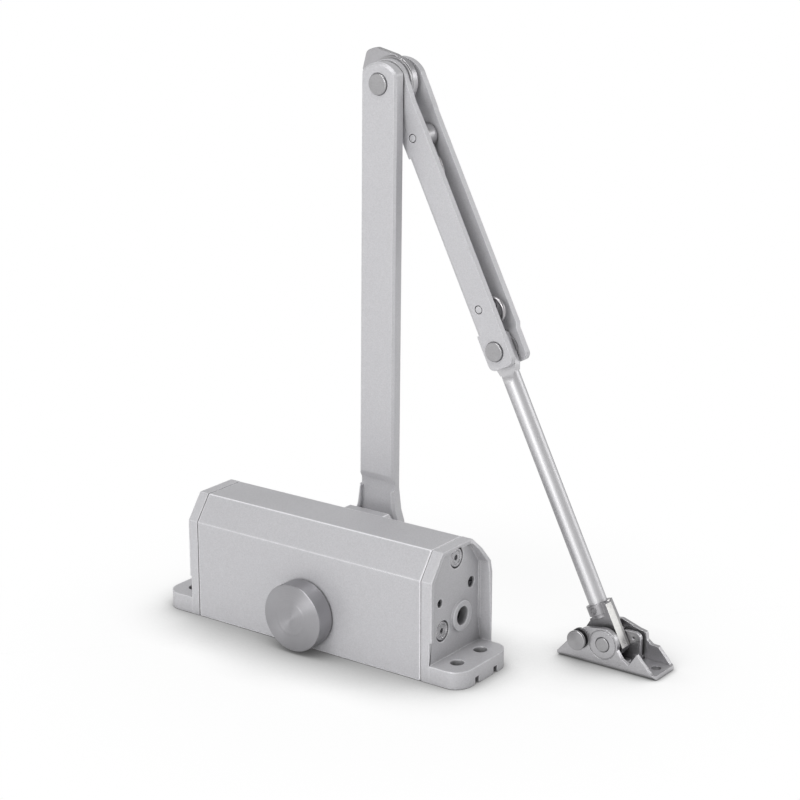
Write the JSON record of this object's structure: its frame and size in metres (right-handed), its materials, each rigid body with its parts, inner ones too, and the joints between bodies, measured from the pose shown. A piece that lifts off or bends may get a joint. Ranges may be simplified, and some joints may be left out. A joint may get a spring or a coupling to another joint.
{
  "type": "surface door closer",
  "caption": "Surface-mounted hydraulic door closer with a spindle cap, a long main arm, a sprung channel forearm, an adjusting rod and a stamped frame shoe.",
  "frame": {"origin": "on the mounting face, in line with the spindle, at mid width of the body", "axes": "+X along the body towards the valves, -Y towards the front cap, +Z out of the mounting face towards the elbow"},
  "size_m": [0.248, 0.0946, 0.2814],
  "materials": {
    "silver_paint": "silver-grey metallic paint",
    "arm_paint": "silver-grey metallic paint",
    "cap_satin": "satin grey metallic",
    "bright_steel": "bright drawn",
    "pin_steel": "zinc plated",
    "shoe_steel": "dull plated sheet",
    "adaptor_steel": "dull plated",
    "spring_steel": "drawn wire",
    "screw_steel": "plated",
    "dark_steel": "machined",
    "valve_brass": "turned",
    "black_rubber": "matt",
    "gasket_sheet": "matt",
    "bronze": "sintered"
  },
  "bodies": {
    "housing": {"closer_body": "silver_paint", "right_cover": "silver_paint", "left_cover": "silver_paint", "right_gasket": "gasket_sheet", "left_gasket": "gasket_sheet", "cover_screws": "screw_steel", "end_plug": "dark_steel", "end_plug_seal": "black_rubber", "closing_spring": "spring_steel", "front_bearing": "bronze", "rear_bearing": "bronze", "front_seal": "black_rubber", "rear_seal": "black_rubber", "seal_retainer": "dark_steel", "spindle_cap": "cap_satin"},
    "closing_valve_screw": {"closing_valve": "valve_brass"},
    "latching_valve_screw": {"latching_valve": "valve_brass"},
    "adjuster": {"power_adjuster": "dark_steel"},
    "spring_end": {"spring_seat": "dark_steel"},
    "piston_set": {"piston": "dark_steel", "piston_ring": "dark_steel", "check_valve": "valve_brass"},
    "arm_set": {"pinion_spindle": "dark_steel", "main_arm": "arm_paint", "arm_washer": "pin_steel", "arm_screw": "screw_steel", "elbow_pin": "pin_steel", "elbow_washers": "pin_steel", "cam_plate": "pin_steel", "elbow_spacer": "pin_steel"},
    "forearm": {"forearm_channel": "arm_paint", "forearm_rivets": "pin_steel", "knee_pin": "pin_steel", "knee_washers": "pin_steel", "extension_spring": "spring_steel"},
    "detent": {"detent_lever": "pin_steel"},
    "rod": {"adjusting_rod": "bright_steel"},
    "adaptor": {"rod_adaptor": "adaptor_steel", "set_screw": "screw_steel"},
    "shoe": {"shoe_bracket": "shoe_steel", "shoe_pin": "pin_steel", "shoe_washers": "pin_steel", "stop_plate": "shoe_steel", "floor_rivet": "pin_steel", "knob_bush": "pin_steel"},
    "knob": {"shoe_knob": "pin_steel"}
  },
  "joints": [
    {"name": "spindle_turn", "type": "hinge", "parent": "housing", "child": "arm_set", "pos_m": [0, 0.0524, 0.0183], "axis": [0, 1, 0], "range_deg": [0, 170], "stiffness_Nm_per_rad": 4, "springref_deg": -17.19, "deforming": ["closing_spring"]},
    {"name": "piston_slide", "type": "slide", "parent": "housing", "child": "piston_set", "axis": [1, 0, 0], "range_m": [0, 0.0224]},
    {"name": "closing_valve_turn", "type": "hinge", "parent": "housing", "child": "closing_valve_screw", "pos_m": [0.068, -0.0125, 0.037], "axis": [1, 0, 0], "range_deg": [-360, 360]},
    {"name": "latching_valve_turn", "type": "hinge", "parent": "housing", "child": "latching_valve_screw", "pos_m": [0.068, 0.013, 0.04], "axis": [1, 0, 0], "range_deg": [-360, 360]},
    {"name": "power_adjuster_turn", "type": "hinge", "parent": "housing", "child": "adjuster", "pos_m": [0.064, 0.004, 0.026], "axis": [1, 0, 0], "range_deg": [0, 720.3]},
    {"name": "spring_seat_slide", "type": "slide", "parent": "housing", "child": "spring_end", "axis": [1, 0, 0], "range_m": [-0.003, 0], "deforming": ["closing_spring"]},
    {"name": "elbow_turn", "type": "hinge", "parent": "arm_set", "child": "forearm", "pos_m": [0.00303, 0.0524, 0.26628], "axis": [0, 1, 0], "range_deg": [-130, 20]},
    {"name": "detent_rock", "type": "hinge", "parent": "forearm", "child": "detent", "pos_m": [0.01579, 0.0524, 0.24058], "axis": [0, 1, 0], "range_deg": [-3.5, 3.5], "stiffness_Nm_per_rad": 0.2},
    {"name": "knee_turn", "type": "hinge", "parent": "forearm", "child": "rod", "pos_m": [0.06377, 0.0524, 0.14393], "axis": [0, 1, 0], "range_deg": [-30, 30]},
    {"name": "rod_length_slide", "type": "slide", "parent": "rod", "child": "adaptor", "axis": [0.4446, 0, -0.8957], "range_m": [-0.004, 0.004]},
    {"name": "shoe_turn", "type": "hinge", "parent": "adaptor", "child": "shoe", "pos_m": [0.12781, 0.0524, 0.0111], "axis": [0, 1, 0], "range_deg": [-45, 45]},
    {"name": "knob_press", "type": "slide", "parent": "shoe", "child": "knob", "axis": [0, 1, 0], "range_m": [0, 0.0012], "stiffness_N_per_m": 300, "springref_m": -0.002}
  ],
  "couplings": [
    {"joint": "piston_slide", "follows": "spindle_turn", "m_per_rad": 0.0075},
    {"joint": "power_adjuster_turn", "follows": "spring_seat_slide", "rad_per_m": -4188.8}
  ]
}
